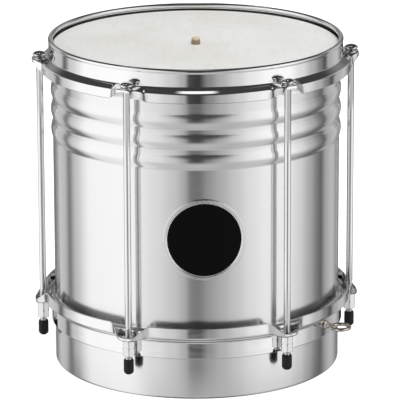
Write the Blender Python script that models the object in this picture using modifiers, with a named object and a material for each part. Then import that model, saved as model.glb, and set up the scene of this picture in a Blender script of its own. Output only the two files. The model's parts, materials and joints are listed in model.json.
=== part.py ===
"""A cuica, the friction drum of a samba band, with a 10 inch head.

An aluminium shell with three pressed ribs stands on its own rolled foot and is open below. A goat
skin is tucked round a flesh hoop and lies over the shell's rolled top edge. An eared counterhoop
presses the flesh hoop down. Six tension rods hang in its ears, pass through the ears of a lower
ring, which catches under a stop bead in the shell wall, and are drawn down by long nuts. A bamboo
stick is tied into the middle of the skin and hangs inside the shell, where the player rubs it.

Metres, +Z up. The origin is the middle of the foot's lower face, and the badge faces -Y.
"""

import math

import bmesh
import bpy
from mathutils import Matrix, Vector

# Gaps between pieces
SEAT_GAP = 0.0003
ROD_CLEARANCE = 0.0004
HOOP_CLEARANCE = 0.0005

# Shell: a rolled aluminium sheet
SHELL_RADIUS = 0.127
SHELL_HEIGHT = 0.2885
SHELL_WALL = 0.0015
EDGE_ROLL = 0.003
EDGE_FLANGE = 0.004
RIB_COUNT = 3
RIB_WIDTH = 0.0129
RIB_DEPTH = 0.0015
RIB_PITCH = 0.0178
RIB_DROP = 0.0392
STOP_BEAD = 0.004

# Skin, dished a little where the stick pulls it down
SKIN = 0.0007
SKIN_REACH = 0.020
DISH_DEPTH = 0.0017
DISH_RADIUS = 0.060
FLESH_HOOP_WIDTH = 0.004
FLESH_HOOP_HEIGHT = 0.005

# The two eared hoops, pressed from steel strip
HOOP_SHEET = 0.0015
HOOP_RISE = 0.0062
BEAD_RADIUS = 0.0022
BEAD_OVERHANG = 0.0003
SKIRT_CLEARANCE = 0.0012
UPPER_BAND = 0.0154
LOWER_BAND = 0.0155
SHOULDER_DROP = 0.0044
SHOULDER_FILLET = 0.002
UPPER_SKIRT = 0.0085
LOWER_SKIRT = 0.0103
FOOT_HEIGHT = 0.0376

# Ears: how far they stand out past the rods, and half lengths along the hoop
EAR_BEYOND_ROD = 0.007
EAR_LIP = 0.0032
EAR_SINK = 0.001
EAR_FLAT = 0.006
EAR_ROUNDING = 0.002
EAR_SHOULDER_END = 0.0145
EAR_SKIRT_END = 0.017

# Tension rods with their nuts and rubber caps
ROD_COUNT = 6
ROD_STANDOFF = 0.008
ROD_RADIUS = 0.003
ROD_TAIL = 0.0146
ROD_POINT = 0.0006
ROD_HEAD_SEAT = 0.005
ROD_HEAD_RADIUS = 0.0063
ROD_HEAD_RIM = 0.002
ROD_HEAD_DOME = 0.003
NUT_ACROSS_FLATS = 0.010
NUT_LENGTH = 0.0139
CAP_RADIUS = 0.0044
CAP_LENGTH = 0.0142
CAP_FLOOR = 0.0022
CAP_LIP = 0.0005
CAP_SHOULDER = 0.0014
CAP_ROUND = 0.0032

# Badge, wrapped round the shell
BADGE_HEIGHT = 0.1448
BADGE_TURN = math.radians(-1.5)
BADGE_RADIUS = 0.0362
BADGE_RIM = 0.0034
BADGE_PLATE = 0.0007
BADGE_RIM_RISE = 0.0005

# Eye bolt for a carrying strap
EYE_ANGLE = math.radians(-34.0)
EYE_RISE = 0.0103
EYE_STANDOFF = 0.015
EYE_RING_RADIUS = 0.0083
EYE_WIRE_RADIUS = 0.0017
EYE_SHANK_RADIUS = 0.0022
EYE_SHANK_TAIL = 0.0025
EYE_COLLAR_RADIUS = 0.0042
EYE_COLLAR_LENGTH = 0.0042
EYE_NUT_FLATS = 0.008
EYE_NUT_LENGTH = 0.004
EYE_WASHER_RADIUS = 0.005
EYE_WASHER_THICKNESS = 0.001

# Stick, tied in the skin
STICK_RADIUS = 0.0021
STICK_LENGTH = 0.220
STICK_KNOT_RISE = 0.0004
STICK_KNOT_LENGTH = 0.005
STICK_KNOTS = (0.070, 0.150)
TIE_RISE = 0.0065
TIE_DEPTH = 0.003
BINDING_RISE = 0.0038
BINDING_THICKNESS = 0.0006
STICK_TRAVEL = 0.0015

# Facets
ROUND = 48
ARC_STEPS = 2
RIB_STEPS = 3
SMALL_ROUND = 12
HOOP_STEPS = 6
BEAD_STEPS = 7
FILLET_STEPS = 1

# Levels and radii that follow from the sizes above
HEAD_TOP = SHELL_HEIGHT + SEAT_GAP + SKIN
DISH_FLOOR = HEAD_TOP - DISH_DEPTH
COLLAR_RADIUS = SHELL_RADIUS + SEAT_GAP + SKIN
BAND_RADIUS = COLLAR_RADIUS + HOOP_CLEARANCE + HOOP_SHEET
TUCK_INNER = COLLAR_RADIUS + SEAT_GAP
TUCK_WALLS = SKIN + SEAT_GAP
TUCK_OUTER = TUCK_INNER + 2 * TUCK_WALLS + FLESH_HOOP_WIDTH
SKIRT_RADIUS = TUCK_OUTER + SKIRT_CLEARANCE + HOOP_SHEET
ROD_CIRCLE = BAND_RADIUS + ROD_STANDOFF
EAR_RADIUS = ROD_CIRCLE + EAR_BEYOND_ROD
HOOP_TOP = HEAD_TOP + HOOP_RISE
UPPER_SHELF = HOOP_TOP - UPPER_BAND - EAR_SINK
LOWER_STEP = FOOT_HEIGHT + LOWER_BAND
LOWER_SHELF = LOWER_STEP + EAR_SINK
ROD_BORE = ROD_RADIUS + ROD_CLEARANCE
ROD_SEAT = UPPER_SHELF + SEAT_GAP
NUT_TOP = LOWER_SHELF - SEAT_GAP
NUT_BOTTOM = NUT_TOP - NUT_LENGTH
ROD_END = NUT_BOTTOM - ROD_TAIL
CAP_BOTTOM = ROD_END - SEAT_GAP - CAP_FLOOR
CAP_TOP = CAP_BOTTOM + CAP_LENGTH
EYE_HEIGHT = FOOT_HEIGHT + EYE_RISE
EYE_REACH = BAND_RADIUS + EYE_STANDOFF
EYE_BORE = EYE_SHANK_RADIUS + SEAT_GAP
TIE_RADIUS = STICK_RADIUS + SEAT_GAP + SKIN
BINDING_RADIUS = TIE_RADIUS + SEAT_GAP + BINDING_THICKNESS
SKIN_HOLE = BINDING_RADIUS + SEAT_GAP
STICK_TOP = DISH_FLOOR + TIE_RISE - SKIN - SEAT_GAP


def clear_scene():
    for thing in list(bpy.data.objects):
        bpy.data.objects.remove(thing, do_unlink=True)


def collection(name):
    found = bpy.data.collections.new(name)
    bpy.context.scene.collection.children.link(found)
    return found


def material(name, colour, roughness, metallic):
    made = bpy.data.materials.new(name)
    made.use_nodes = True
    shader = made.node_tree.nodes["Principled BSDF"]
    shader.inputs["Base Color"].default_value = (*colour, 1.0)
    shader.inputs["Roughness"].default_value = roughness
    shader.inputs["Metallic"].default_value = metallic
    made.diffuse_color = (*colour, 1.0)
    return made


def polar(radius, angle, z=0.0):
    return Vector((radius * math.cos(angle), radius * math.sin(angle), z))


def arc(centre, radius, start, end, steps):
    """Points of an arc in a profile, with its angles in degrees from +X."""
    points = []
    for step in range(steps + 1):
        angle = math.radians(start + (end - start) * step / steps)
        points.append(Vector(centre) + radius * Vector((math.cos(angle), math.sin(angle))))
    return points


def left_of(direction):
    return Vector((-direction.y, direction.x))


def rounded(corners, steps):
    """A path through corners (x, z, fillet radius), each fillet drawn as an arc."""
    path = []
    for index, (x, z, radius) in enumerate(corners):
        here = Vector((x, z))
        if radius == 0.0:
            path.append(here)
            continue
        before = Vector(corners[index - 1][:2])
        after = Vector(corners[index + 1][:2])
        into = (here - before).normalized()
        out = (after - here).normalized()
        turn = math.atan2(into.x * out.y - into.y * out.x, into.dot(out))
        start = here - into * radius * math.tan(abs(turn) / 2)
        centre = start + left_of(into) * math.copysign(radius, turn)
        for step in range(steps + 1):
            spin = Matrix.Rotation(turn * step / steps, 2)
            path.append(centre + spin @ (start - centre))
    return path


def offset(path, distance):
    """The path moved to its left by distance, with mitred corners."""
    moved = []
    last = len(path) - 1
    for index, point in enumerate(path):
        into = path[max(index, 1)] - path[max(index, 1) - 1]
        out = path[min(index, last - 1) + 1] - path[min(index, last - 1)]
        before = left_of(into.normalized())
        after = left_of(out.normalized())
        moved.append(point + (before + after) * distance / (1.0 + before.dot(after)))
    return moved


def sheet_outline(path, thickness):
    """The closed section of a sheet whose outer face follows the path, down its outer side."""
    return path + offset(path, -thickness)[::-1]


def add(name, mesh, finish, home):
    part = bpy.data.objects.new(name, mesh)
    home.objects.link(part)
    part.data.materials.clear()
    part.data.materials.append(finish)
    return part


def turned(name, outline, finish, home, segments=ROUND, closed=True):
    """A profile turned round Z. A closed one is a ring, an open one starts and ends on the axis."""
    count = len(outline)
    edges = [(index, index + 1) for index in range(count - 1)]
    if closed:
        edges.append((count - 1, 0))
    mesh = bpy.data.meshes.new(name)
    mesh.from_pydata([(x, 0.0, z) for x, z in outline], edges, [])
    part = add(name, mesh, finish, home)
    turn = part.modifiers.new("Turn", "SCREW")
    turn.steps = segments
    turn.render_steps = segments
    turn.use_merge_vertices = True
    turn.merge_threshold = 0.000001
    return part


def lofted(name, rings, finish, home):
    """A closed hoop through like-numbered section rings, one after another round the drum."""
    mesh = bpy.data.meshes.new(name)
    shape = bmesh.new()
    rows = [[shape.verts.new(point) for point in ring] for ring in rings]
    count = len(rings[0])
    for index, row in enumerate(rows):
        following = rows[(index + 1) % len(rows)]
        for place in range(count):
            after = (place + 1) % count
            shape.faces.new((row[place], following[place], following[after], row[after]))
    bmesh.ops.recalc_face_normals(shape, faces=shape.faces)
    shape.to_mesh(mesh)
    shape.free()
    return add(name, mesh, finish, home)


def join_by(part, other, operation):
    change = part.modifiers.new(operation.title(), "BOOLEAN")
    change.operation = operation
    change.object = other
    change.solver = "EXACT"


def cutter(name, radius, length, place, home, segments=SMALL_ROUND):
    """A cylinder along the place's own Z, for a hole."""
    mesh = bpy.data.meshes.new(name)
    shape = bmesh.new()
    bmesh.ops.create_cone(
        shape,
        cap_ends=True,
        segments=segments,
        radius1=radius,
        radius2=radius,
        depth=length,
    )
    shape.to_mesh(mesh)
    shape.free()
    tool = bpy.data.objects.new(name, mesh)
    tool.matrix_world = place
    home.objects.link(tool)
    tool.hide_render = True
    tool.display_type = "WIRE"
    return tool


def settle(part):
    """Applies the modifiers, and shades the part smooth between its sharp edges."""
    bpy.context.view_layer.update()
    graph = bpy.context.evaluated_depsgraph_get()
    mesh = bpy.data.meshes.new_from_object(part.evaluated_get(graph))
    part.modifiers.clear()
    unmodified = part.data
    part.data = mesh
    bpy.data.meshes.remove(unmodified)
    mesh.name = part.name
    mesh.shade_smooth()
    mesh.set_sharp_from_angle(angle=math.radians(35.0))
    return part


def rod_angles():
    return [2 * math.pi * index / ROD_COUNT for index in range(ROD_COUNT)]


def copies_on_rod_circle(pattern, parts):
    """The pattern and its copies, one on each rod's axis."""
    for number, angle in enumerate(rod_angles(), start=1):
        copy = pattern if number == 1 else bpy.data.objects.new("copy", pattern.data)
        if number > 1:
            parts.objects.link(copy)
        copy.location = polar(ROD_CIRCLE, angle)
        copy.rotation_euler = (0.0, 0.0, angle)
        copy.name = f"{pattern.data.name}_{number}"


def stop_bead_level():
    """Height of the stop bead's middle, where it rests on the fold under the lower ring's shoulder."""
    slope = math.atan2(SKIRT_RADIUS - BAND_RADIUS, SHOULDER_DROP)
    fold_level = LOWER_STEP - SHOULDER_FILLET * math.tan(slope / 2)
    fold_radius = BAND_RADIUS + SHOULDER_FILLET
    between = STOP_BEAD + SEAT_GAP + SHOULDER_FILLET + HOOP_SHEET
    return fold_level + math.sqrt(between**2 - (fold_radius - SHELL_RADIUS) ** 2)


def shell_path():
    """The shell's outer face, from the flange at the bearing edge down to the flange at the foot."""
    inward = SHELL_RADIUS - EDGE_ROLL
    path = [Vector((inward - EDGE_FLANGE, SHELL_HEIGHT))]
    path += arc((inward, SHELL_HEIGHT - EDGE_ROLL), EDGE_ROLL, 90, 0, ARC_STEPS)
    rib_curve = (RIB_WIDTH**2 / 4 + RIB_DEPTH**2) / (2 * RIB_DEPTH)
    rib_half_angle = math.degrees(math.asin(RIB_WIDTH / 2 / rib_curve))
    for rib in range(RIB_COUNT):
        level = SHELL_HEIGHT - RIB_DROP - rib * RIB_PITCH
        middle = (SHELL_RADIUS + RIB_DEPTH - rib_curve, level)
        path += arc(middle, rib_curve, rib_half_angle, -rib_half_angle, RIB_STEPS)
    path += arc((SHELL_RADIUS, stop_bead_level()), STOP_BEAD, 90, -90, 2 * ARC_STEPS)
    path += arc((inward, EDGE_ROLL), EDGE_ROLL, 0, -90, ARC_STEPS)
    path.append(Vector((inward - EDGE_FLANGE, 0.0)))
    return path


def make_shell(finish, parts):
    return turned("shell", sheet_outline(shell_path(), SHELL_WALL), finish, parts)


def make_head(finish, parts):
    """The playing skin: dished in the middle, over the bearing edge and down outside the shell."""
    fold = EDGE_ROLL + SEAT_GAP + SKIN
    inward = SHELL_RADIUS - EDGE_ROLL
    path = [
        Vector((SKIN_HOLE, DISH_FLOOR)),
        Vector((DISH_RADIUS * 0.4, DISH_FLOOR + DISH_DEPTH * 0.55)),
        Vector((DISH_RADIUS, HEAD_TOP)),
    ]
    path += arc((inward, SHELL_HEIGHT - EDGE_ROLL), fold, 90, 0, ARC_STEPS)
    path.append(Vector((COLLAR_RADIUS, HEAD_TOP - SKIN_REACH)))
    return turned("head_skin", sheet_outline(path, SKIN), finish, parts)


def tuck_top():
    """Height at which the tucked skin meets the underside of the counterhoop's shoulder."""
    run = SKIRT_RADIUS - BAND_RADIUS
    slope = math.atan2(SHOULDER_DROP, run)
    outer_face = HOOP_TOP - UPPER_BAND - (TUCK_OUTER - BAND_RADIUS) * SHOULDER_DROP / run
    return outer_face - (HOOP_SHEET + SEAT_GAP) / math.cos(slope)


def make_flesh_hoop(skin, steel, parts):
    """The flesh hoop, and the skin's hem tucked round it."""
    top = tuck_top()
    bottom = top - FLESH_HOOP_HEIGHT - 2 * TUCK_WALLS
    hem = [
        Vector((TUCK_INNER + SKIN + 2 * SEAT_GAP, top)),
        Vector((TUCK_OUTER, top)),
        Vector((TUCK_OUTER, bottom)),
        Vector((TUCK_INNER, bottom)),
        Vector((TUCK_INNER, top)),
    ]
    tuck = turned("skin_tuck", sheet_outline(hem, SKIN), skin, parts)
    ring = [
        Vector((TUCK_INNER + TUCK_WALLS, top - TUCK_WALLS)),
        Vector((TUCK_OUTER - TUCK_WALLS, top - TUCK_WALLS)),
        Vector((TUCK_OUTER - TUCK_WALLS, bottom + TUCK_WALLS)),
        Vector((TUCK_INNER + TUCK_WALLS, bottom + TUCK_WALLS)),
    ]
    return tuck, turned("flesh_hoop", ring, steel, parts)


def ear_share(place, end):
    """How far the ear stands out at a distance from its middle, from 0 to 1."""
    return min(1.0, max(0.0, (end - abs(place)) / (end - EAR_FLAT)))


def hoop_stations():
    """(angle, place) of each section: close together over an ear, even between the ears."""
    half = [
        EAR_FLAT,
        EAR_FLAT + EAR_ROUNDING,
        EAR_SHOULDER_END,
        EAR_SKIRT_END,
    ]
    places = [-place for place in reversed(half)] + half
    sector = 2 * math.pi / ROD_COUNT
    ear_half_angle = EAR_SKIRT_END / SKIRT_RADIUS
    step = (sector - 2 * ear_half_angle) / HOOP_STEPS
    stations = []
    for middle in rod_angles():
        stations += [(middle + place / SKIRT_RADIUS, place) for place in places]
        for count in range(1, HOOP_STEPS):
            stations.append((middle + ear_half_angle + count * step, EAR_SKIRT_END))
    return stations


def hoop_face(place, band, skirt):
    """The outer face of a hoop's section from its step down, measured down from its top."""
    shoulder = ear_share(place, EAR_SHOULDER_END)
    foot = ear_share(place, EAR_SKIRT_END)
    step = -band - EAR_SINK * shoulder
    edge = step - SHOULDER_DROP * (1 - shoulder)
    plain_bottom = -band - SHOULDER_DROP - skirt
    ear_bottom = -band - EAR_SINK - EAR_LIP
    bottom = plain_bottom + (ear_bottom - plain_bottom) * foot
    shoulder_radius = SKIRT_RADIUS + (EAR_RADIUS - SKIRT_RADIUS) * shoulder
    foot_radius = SKIRT_RADIUS + (EAR_RADIUS - SKIRT_RADIUS) * foot
    return rounded(
        [
            (BAND_RADIUS, 0.0, 0.0),
            (BAND_RADIUS, step, SHOULDER_FILLET),
            (shoulder_radius, edge, SHOULDER_FILLET),
            (foot_radius, bottom, 0.0),
        ],
        FILLET_STEPS,
    )


def rolled_bead():
    """The bead along the counterhoop's top, from its inner side over to its outer side."""
    centre_radius = BAND_RADIUS + BEAD_OVERHANG - BEAD_RADIUS
    outer_end = -math.degrees(math.acos((BAND_RADIUS - centre_radius) / BEAD_RADIUS))
    inner_wall = BAND_RADIUS - HOOP_SHEET
    inner_end = 360 - math.degrees(math.acos((inner_wall - centre_radius) / BEAD_RADIUS))
    return arc((centre_radius, -BEAD_RADIUS), BEAD_RADIUS, inner_end, outer_end, BEAD_STEPS)


def make_counterhoop(finish, parts):
    rings = []
    for angle, place in hoop_stations():
        face = hoop_face(place, UPPER_BAND, UPPER_SKIRT)
        section = rolled_bead() + face[1:] + offset(face, -HOOP_SHEET)[:0:-1]
        rings.append([polar(x, angle, HOOP_TOP + z) for x, z in section])
    return lofted("counterhoop", rings, finish, parts)


def make_lower_ring(finish, parts):
    """The same pressing upside down, without the bead."""
    rings = []
    for angle, place in hoop_stations():
        section = sheet_outline(hoop_face(place, LOWER_BAND, LOWER_SKIRT), HOOP_SHEET)
        rings.append([polar(x, angle, FOOT_HEIGHT - z) for x, z in section])
    return lofted("lower_ring", rings, finish, parts)


def drill_ears(counterhoop, lower_ring, cutters):
    for number, angle in enumerate(rod_angles(), start=1):
        for hoop, level in ((counterhoop, UPPER_SHELF), (lower_ring, LOWER_SHELF)):
            place = Matrix.Translation(polar(ROD_CIRCLE, angle, level))
            name = f"{hoop.name}_hole_{number}"
            join_by(hoop, cutter(name, ROD_BORE, 4 * HOOP_SHEET, place, cutters), "DIFFERENCE")


def make_rods(finish, parts):
    rim = ROD_SEAT + ROD_HEAD_RIM
    outline = [
        Vector((0.0, rim + ROD_HEAD_DOME)),
        Vector((ROD_HEAD_RADIUS * 0.55, rim + ROD_HEAD_DOME * 0.82)),
        Vector((ROD_HEAD_RADIUS * 0.87, rim + ROD_HEAD_DOME * 0.38)),
        Vector((ROD_HEAD_RADIUS, rim)),
        Vector((ROD_HEAD_SEAT, ROD_SEAT)),
        Vector((ROD_RADIUS, ROD_SEAT)),
        Vector((ROD_RADIUS, ROD_END + ROD_POINT)),
        Vector((ROD_RADIUS - ROD_POINT, ROD_END)),
        Vector((0.0, ROD_END)),
    ]
    rod = settle(turned("tension_rod", outline, finish, parts, SMALL_ROUND, closed=False))
    copies_on_rod_circle(rod, parts)


def hex_nut(name, across_flats, bore, bottom, top, finish, parts, cutters):
    """A hexagon nut on Z with turned corners and a plain bore."""
    corner = across_flats / 2 / math.cos(math.pi / 6)
    middle = Matrix.Translation((0.0, 0.0, (bottom + top) / 2))
    mesh = bpy.data.meshes.new(name)
    shape = bmesh.new()
    bmesh.ops.create_cone(
        shape,
        cap_ends=True,
        segments=6,
        radius1=corner,
        radius2=corner,
        depth=top - bottom,
        matrix=middle,
    )
    shape.to_mesh(mesh)
    shape.free()
    nut = add(name, mesh, finish, parts)
    chamfer = corner - across_flats / 2
    face = across_flats / 2 - chamfer / 4
    outline = [
        Vector((0.0, top + SEAT_GAP)),
        Vector((face - SEAT_GAP, top + SEAT_GAP)),
        Vector((corner + SEAT_GAP, top - chamfer)),
        Vector((corner + SEAT_GAP, bottom + chamfer)),
        Vector((face - SEAT_GAP, bottom - SEAT_GAP)),
        Vector((0.0, bottom - SEAT_GAP)),
    ]
    barrel = turned(f"{name}_barrel", outline, finish, cutters, SMALL_ROUND, closed=False)
    barrel.hide_render = True
    barrel.display_type = "WIRE"
    join_by(nut, barrel, "INTERSECT")
    drill = cutter(f"{name}_drill", bore, 2 * (top - bottom), middle, cutters)
    join_by(nut, drill, "DIFFERENCE")
    return settle(nut)


def make_tuning_nuts(finish, parts, cutters):
    nut = hex_nut(
        "tuning_nut", NUT_ACROSS_FLATS, ROD_BORE, NUT_BOTTOM, NUT_TOP, finish, parts, cutters
    )
    copies_on_rod_circle(nut, parts)


def make_rod_caps(finish, parts):
    """Soft caps pushed over the rods' threaded ends."""
    hole = ROD_RADIUS + SEAT_GAP
    outline = [
        Vector((0.0, CAP_BOTTOM + CAP_FLOOR)),
        Vector((hole, CAP_BOTTOM + CAP_FLOOR)),
        Vector((hole, CAP_TOP)),
        Vector((hole + CAP_LIP, CAP_TOP)),
        Vector((CAP_RADIUS, CAP_TOP - CAP_SHOULDER)),
        Vector((CAP_RADIUS, CAP_BOTTOM + CAP_ROUND)),
        Vector((CAP_RADIUS - CAP_ROUND * 0.3, CAP_BOTTOM + CAP_ROUND * 0.35)),
        Vector((CAP_RADIUS - CAP_ROUND, CAP_BOTTOM)),
        Vector((0.0, CAP_BOTTOM)),
    ]
    cap = settle(turned("rod_cap", outline, finish, parts, SMALL_ROUND, closed=False))
    copies_on_rod_circle(cap, parts)


def make_badge(finish, parts):
    """A round plate with a raised rim, turned flat and then wrapped round the shell."""
    field = BADGE_RADIUS - BADGE_RIM
    rim_top = BADGE_PLATE + BADGE_RIM_RISE
    outline = [
        Vector((0.0, BADGE_PLATE)),
        Vector((field * 0.35, BADGE_PLATE)),
        Vector((field * 0.7, BADGE_PLATE)),
        Vector((field, BADGE_PLATE)),
        Vector((field + BADGE_RIM_RISE, rim_top)),
        Vector((BADGE_RADIUS, rim_top)),
        Vector((BADGE_RADIUS, 0.0)),
        Vector((field * 0.7, 0.0)),
        Vector((field * 0.35, 0.0)),
        Vector((0.0, 0.0)),
    ]
    badge = settle(turned("badge", outline, finish, parts, 2 * SMALL_ROUND, closed=False))
    front = -math.pi / 2 + BADGE_TURN
    back = SHELL_RADIUS + SEAT_GAP
    for vertex in badge.data.vertices:
        across, up, out = vertex.co
        vertex.co = polar(back + out, front + across / back, BADGE_HEIGHT + up)
    badge.data.update()


def make_eye_bolt(finish, parts, cutters, shell, lower_ring):
    """An eye on a shank that goes through the lower ring's band and the shell, with its nut inside."""
    outward = Matrix.Rotation(EYE_ANGLE, 4, "Z") @ Matrix.Rotation(math.pi / 2, 4, "Y")
    place = Matrix.Translation((0.0, 0.0, EYE_HEIGHT)) @ outward
    inner_wall = (SHELL_RADIUS - SHELL_WALL) * math.cos(math.pi / ROUND)
    washer_out = inner_wall - SEAT_GAP - EYE_WASHER_RADIUS**2 / (2 * inner_wall)
    washer_in = washer_out - EYE_WASHER_THICKNESS
    nut_out = washer_in - SEAT_GAP
    nut_in = nut_out - EYE_NUT_LENGTH
    collar = BAND_RADIUS + SEAT_GAP
    shank_end = EYE_REACH - EYE_RING_RADIUS
    outline = [
        Vector((0.0, shank_end)),
        Vector((EYE_WIRE_RADIUS * 0.8, shank_end)),
        Vector((EYE_SHANK_RADIUS, collar + EYE_COLLAR_LENGTH)),
        Vector((EYE_COLLAR_RADIUS, collar + EYE_COLLAR_LENGTH * 0.2)),
        Vector((EYE_COLLAR_RADIUS, collar)),
        Vector((EYE_SHANK_RADIUS, collar)),
        Vector((EYE_SHANK_RADIUS, nut_in - EYE_SHANK_TAIL)),
        Vector((0.0, nut_in - EYE_SHANK_TAIL)),
    ]
    bolt = turned("eye_bolt", outline, finish, parts, SMALL_ROUND, closed=False)
    ring_place = Matrix.Translation((0.0, 0.0, EYE_REACH)) @ Matrix.Rotation(math.pi / 2, 4, "Y")
    bpy.ops.mesh.primitive_torus_add(
        major_segments=2 * SMALL_ROUND,
        minor_segments=8,
        major_radius=EYE_RING_RADIUS,
        minor_radius=EYE_WIRE_RADIUS,
    )
    ring = bpy.context.object
    ring.name = "eye_ring"
    ring.matrix_world = ring_place
    ring.hide_render = True
    ring.display_type = "WIRE"
    for home in list(ring.users_collection):
        home.objects.unlink(ring)
    cutters.objects.link(ring)
    join_by(bolt, ring, "UNION")
    settle(bolt).matrix_world = place
    nut = hex_nut(
        "eye_bolt_nut", EYE_NUT_FLATS, EYE_BORE, nut_in, nut_out, finish, parts, cutters
    )
    nut.matrix_world = place
    washer_outline = [
        Vector((EYE_BORE, washer_out)),
        Vector((EYE_WASHER_RADIUS, washer_out)),
        Vector((EYE_WASHER_RADIUS, washer_in)),
        Vector((EYE_BORE, washer_in)),
    ]
    washer = turned("eye_bolt_washer", washer_outline, finish, parts, 2 * SMALL_ROUND)
    washer.matrix_world = place
    length = 2 * (collar - nut_in)
    hole_place = place @ Matrix.Translation((0.0, 0.0, SHELL_RADIUS))
    for pierced in (shell, lower_ring):
        hole = cutter(f"{pierced.name}_bolt_hole", EYE_BORE, length, hole_place, cutters)
        join_by(pierced, hole, "DIFFERENCE")


def make_stick(bamboo, skin, thread, parts):
    """The stick, the tip of skin drawn over its end, and the thread bound round that."""
    end = STICK_TOP - STICK_LENGTH
    outline = [Vector((0.0, STICK_TOP)), Vector((STICK_RADIUS * 0.6, STICK_TOP))]
    outline.append(Vector((STICK_RADIUS, STICK_TOP - STICK_RADIUS * 0.5)))
    for knot in STICK_KNOTS:
        level = STICK_TOP - knot
        outline.append(Vector((STICK_RADIUS, level + STICK_KNOT_LENGTH / 2)))
        outline.append(Vector((STICK_RADIUS + STICK_KNOT_RISE, level)))
        outline.append(Vector((STICK_RADIUS, level - STICK_KNOT_LENGTH / 2)))
    outline.append(Vector((STICK_RADIUS, end + STICK_RADIUS * 0.5)))
    outline.append(Vector((STICK_RADIUS * 0.6, end)))
    outline.append(Vector((0.0, end)))
    turned("friction_stick", outline, bamboo, parts, SMALL_ROUND, closed=False)

    crown = DISH_FLOOR + TIE_RISE
    hem = DISH_FLOOR - TIE_DEPTH
    path = [
        Vector((0.0, crown)),
        Vector((TIE_RADIUS * 0.6, crown - SKIN * 0.4)),
        Vector((TIE_RADIUS, crown - SKIN * 2)),
        Vector((TIE_RADIUS, hem)),
    ]
    inside = [
        Vector((TIE_RADIUS - SKIN, hem)),
        Vector((TIE_RADIUS - SKIN, crown - SKIN)),
        Vector((0.0, crown - SKIN)),
    ]
    turned("skin_tie", path + inside, skin, parts, SMALL_ROUND, closed=False)

    low = DISH_FLOOR - SKIN - STICK_TRAVEL - SEAT_GAP
    high = DISH_FLOOR + BINDING_RISE
    inner = TIE_RADIUS + SEAT_GAP
    bound = [
        Vector((inner, high)),
        Vector((BINDING_RADIUS, high - BINDING_THICKNESS)),
        Vector((BINDING_RADIUS, low)),
        Vector((inner, low)),
    ]
    turned("thread_binding", bound, thread, parts, SMALL_ROUND)


def main():
    clear_scene()
    parts = collection("cuica")
    cutters = collection("cutters")
    cutters.hide_render = True

    aluminium = material("brushed aluminium", (0.66, 0.65, 0.64), 0.32, 1.0)
    chrome = material("chromed steel", (0.72, 0.72, 0.74), 0.08, 1.0)
    zinc = material("zinc plated steel", (0.62, 0.61, 0.60), 0.3, 1.0)
    nickel = material("nickel plated steel", (0.60, 0.56, 0.52), 0.15, 1.0)
    steel = material("bare steel", (0.45, 0.45, 0.46), 0.4, 1.0)
    goat_skin = material("goat skin", (0.80, 0.79, 0.76), 0.5, 0.0)
    tied_skin = material("tied skin", (0.80, 0.70, 0.55), 0.6, 0.0)
    waxed_thread = material("waxed thread", (0.36, 0.28, 0.20), 0.7, 0.0)
    bamboo = material("bamboo", (0.70, 0.55, 0.33), 0.5, 0.0)
    rubber = material("black rubber", (0.02, 0.02, 0.02), 0.6, 0.0)
    badge_plate = material("badge plate", (0.70, 0.70, 0.70), 0.25, 1.0)

    shell = make_shell(aluminium, parts)
    make_head(goat_skin, parts)
    make_flesh_hoop(goat_skin, steel, parts)
    counterhoop = make_counterhoop(chrome, parts)
    lower_ring = make_lower_ring(chrome, parts)
    drill_ears(counterhoop, lower_ring, cutters)
    make_rods(zinc, parts)
    make_tuning_nuts(zinc, parts, cutters)
    make_rod_caps(rubber, parts)
    make_badge(badge_plate, parts)
    make_eye_bolt(nickel, parts, cutters, shell, lower_ring)
    make_stick(bamboo, tied_skin, waxed_thread, parts)
    for part in parts.objects:
        if part.modifiers:
            settle(part)


main()
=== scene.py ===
"""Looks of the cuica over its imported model.

Metres, +Z up. The origin is the middle of the foot's lower face, and the badge faces -Y.
"""

import json
import math

import bmesh
import bpy
from mathutils import Matrix, Quaternion, Vector, noise

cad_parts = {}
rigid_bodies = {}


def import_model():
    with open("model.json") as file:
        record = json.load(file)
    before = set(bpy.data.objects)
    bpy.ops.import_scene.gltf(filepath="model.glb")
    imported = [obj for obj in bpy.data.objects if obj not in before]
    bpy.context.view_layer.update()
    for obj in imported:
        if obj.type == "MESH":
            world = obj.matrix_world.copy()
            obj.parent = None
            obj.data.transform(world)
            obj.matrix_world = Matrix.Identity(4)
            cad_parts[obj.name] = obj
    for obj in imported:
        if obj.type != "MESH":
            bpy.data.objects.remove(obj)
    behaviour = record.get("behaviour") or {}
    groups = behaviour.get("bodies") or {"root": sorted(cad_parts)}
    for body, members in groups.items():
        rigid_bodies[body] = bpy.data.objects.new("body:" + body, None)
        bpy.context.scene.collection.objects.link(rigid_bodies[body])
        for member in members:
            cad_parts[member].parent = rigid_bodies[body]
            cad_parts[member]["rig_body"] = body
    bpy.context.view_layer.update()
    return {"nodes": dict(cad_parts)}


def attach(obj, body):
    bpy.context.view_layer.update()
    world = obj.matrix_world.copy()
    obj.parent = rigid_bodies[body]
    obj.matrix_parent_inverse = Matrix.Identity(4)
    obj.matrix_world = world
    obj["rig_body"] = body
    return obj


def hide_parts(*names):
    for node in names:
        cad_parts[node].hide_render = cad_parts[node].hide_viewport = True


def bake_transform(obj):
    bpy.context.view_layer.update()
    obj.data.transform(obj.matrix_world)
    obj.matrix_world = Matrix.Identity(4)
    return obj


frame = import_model()

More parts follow.
